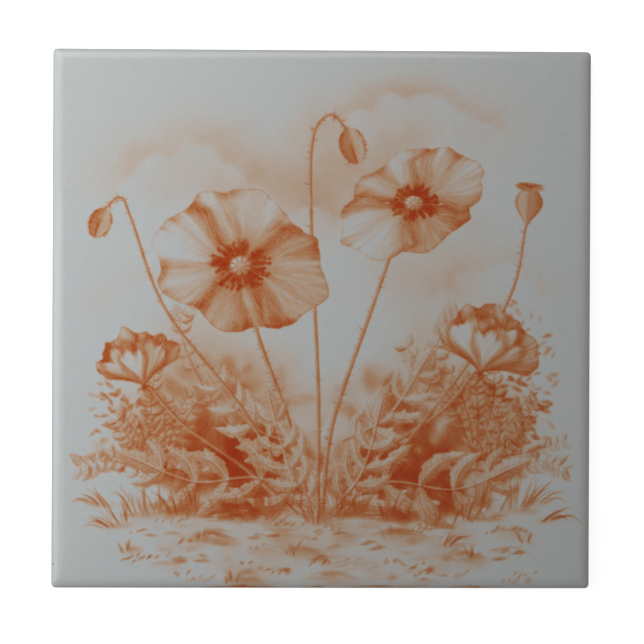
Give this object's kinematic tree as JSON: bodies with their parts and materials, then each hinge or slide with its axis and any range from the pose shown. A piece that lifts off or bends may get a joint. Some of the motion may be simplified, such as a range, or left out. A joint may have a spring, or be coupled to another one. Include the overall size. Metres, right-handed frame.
{
  "type": "decorative ceramic tile",
  "caption": "Square glazed ceramic wall tile with cushioned edges, a hand-painted iron-red picture on its face and a waffle grid of key cells on its back.",
  "frame": {"origin": "middle of the back, in the plane that the tile is bedded on", "axes": "+Z out of the glazed face, +Y to the top of the painted picture, +X to its right. The tile lies on its back."},
  "size_m": [0.1524, 0.1524, 0.0065],
  "materials": {
    "glazed_body": "clear gloss glaze over a white biscuit, with a painting in iron-red ceramic colour on the face and the back left bare"
  },
  "bodies": {
    "root": {"tile": "glazed_body"}
  },
  "joints": []
}
